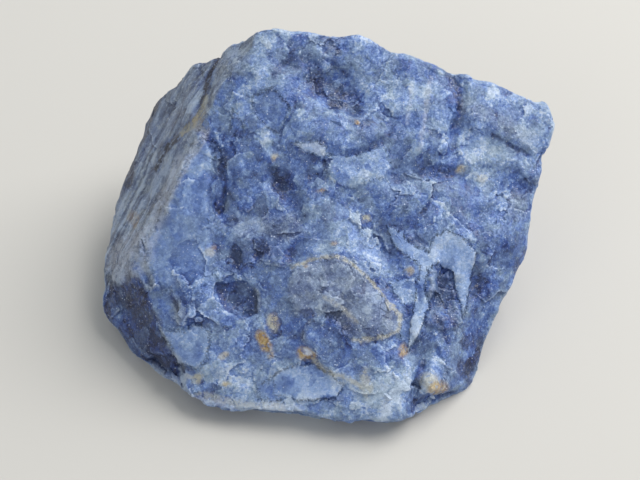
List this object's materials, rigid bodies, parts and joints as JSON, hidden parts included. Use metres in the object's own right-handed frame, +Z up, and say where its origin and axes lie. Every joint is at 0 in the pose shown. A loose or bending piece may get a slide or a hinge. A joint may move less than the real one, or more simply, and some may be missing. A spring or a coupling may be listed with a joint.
{
  "type": "raw sodalite",
  "caption": "Rough broken lump of blue stone with one broad leaning fracture face and a flat face that it rests on.",
  "frame": {"origin": "on the flat face that it rests on, under the middle of its box", "axes": "+Z up from the resting face, +X along the stone's greatest width, -Y the side that the broad blue face leans towards"},
  "size_m": [0.0725, 0.0589, 0.0398],
  "materials": {
    "stone": "matte"
  },
  "bodies": {
    "root": {"sodalite": "stone"}
  },
  "joints": []
}
